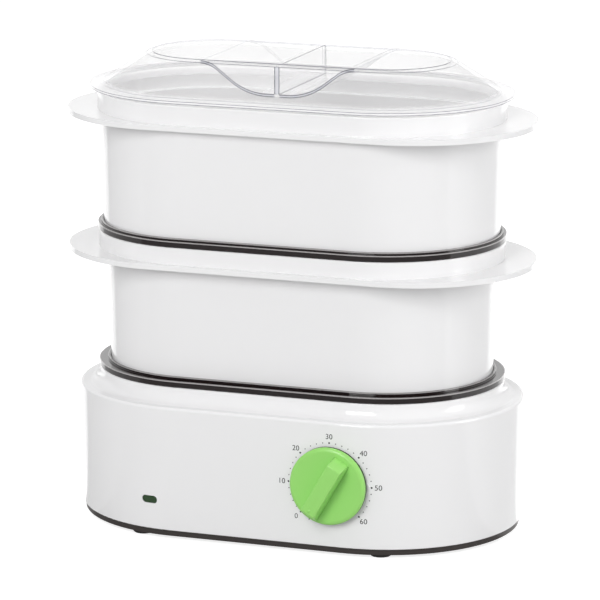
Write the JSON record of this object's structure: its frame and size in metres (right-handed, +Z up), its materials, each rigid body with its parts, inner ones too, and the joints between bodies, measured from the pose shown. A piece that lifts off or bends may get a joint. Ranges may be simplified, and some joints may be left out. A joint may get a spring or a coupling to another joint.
{
  "type": "electric food steamer",
  "caption": "Electric food steamer: oval base with water tank, timer knob and pilot light, stacked lift-off baskets on dark steam trays, clear lid.",
  "frame": {"origin": "centre of the bounding box at the plane the feet stand on; the stack's own middle lies a few millimetres behind it, because the knob stands out in front", "axes": "+Z up, +X along the length to the viewer's right, front with the timer knob towards -Y"},
  "size_m": [0.358, 0.2276, 0.3507],
  "materials": {
    "white_plastic": "gloss",
    "dark_plastic": "satin",
    "rubber": "matte",
    "steel": "brushed",
    "tank_plastic": "satin",
    "silicone": "matte",
    "ring_plastic": "satin",
    "aluminium": "satin",
    "case_plastic": "satin",
    "knob_green": "satin",
    "lens_green": "gloss",
    "lamp_glass": "gloss",
    "clear_grey": "gloss",
    "tray_dark": "gloss",
    "clear_plastic": "gloss"
  },
  "bodies": {
    "base": {"base_plate": "dark_plastic", "base_screws": "steel", "boil_dry_cutout": "aluminium", "cord_gland": "rubber", "element_clips": "steel", "element_seals": "silicone", "feet": "rubber", "heating_element": "steel", "housing": "white_plastic", "pilot_lamp": "lamp_glass", "pilot_lens": "lens_green", "steam_ring": "ring_plastic", "tank_seal": "silicone", "terminal_block": "case_plastic", "timer_bell": "steel", "timer_case": "case_plastic", "timer_plate": "steel", "timer_screws": "steel", "water_tank": "tank_plastic"},
    "knob": {"timer_knob": "knob_green", "timer_shaft": "steel"},
    "drip_tray": {"drip_tray": "clear_grey"},
    "steam_tray_lower": {"steam_tray_lower": "tray_dark"},
    "basket_lower": {"basket_lower": "white_plastic"},
    "steam_tray_upper": {"steam_tray_upper": "tray_dark"},
    "basket_upper": {"basket_upper": "white_plastic"},
    "lid": {"lid": "clear_plastic"}
  },
  "joints": [
    {"name": "timer_turn", "type": "hinge", "parent": "base", "child": "knob", "pos_m": [0.0588, -0.09484, 0.0537], "axis": [0, 1, 0], "range_deg": [0, 285]},
    {"name": "drip_tray_lift", "type": "slide", "parent": "base", "child": "drip_tray", "axis": [0, 0, 1], "range_m": [0, 0.04]},
    {"name": "steam_tray_lower_lift", "type": "slide", "parent": "drip_tray", "child": "steam_tray_lower", "axis": [0, 0, 1], "range_m": [0, 0.05]},
    {"name": "basket_lower_lift", "type": "slide", "parent": "steam_tray_lower", "child": "basket_lower", "axis": [0, 0, 1], "range_m": [0, 0.05]},
    {"name": "steam_tray_upper_lift", "type": "slide", "parent": "basket_lower", "child": "steam_tray_upper", "axis": [0, 0, 1], "range_m": [0, 0.05]},
    {"name": "basket_upper_lift", "type": "slide", "parent": "steam_tray_upper", "child": "basket_upper", "axis": [0, 0, 1], "range_m": [0, 0.05]},
    {"name": "lid_lift", "type": "slide", "parent": "basket_upper", "child": "lid", "axis": [0, 0, 1], "range_m": [0, 0.08]}
  ]
}
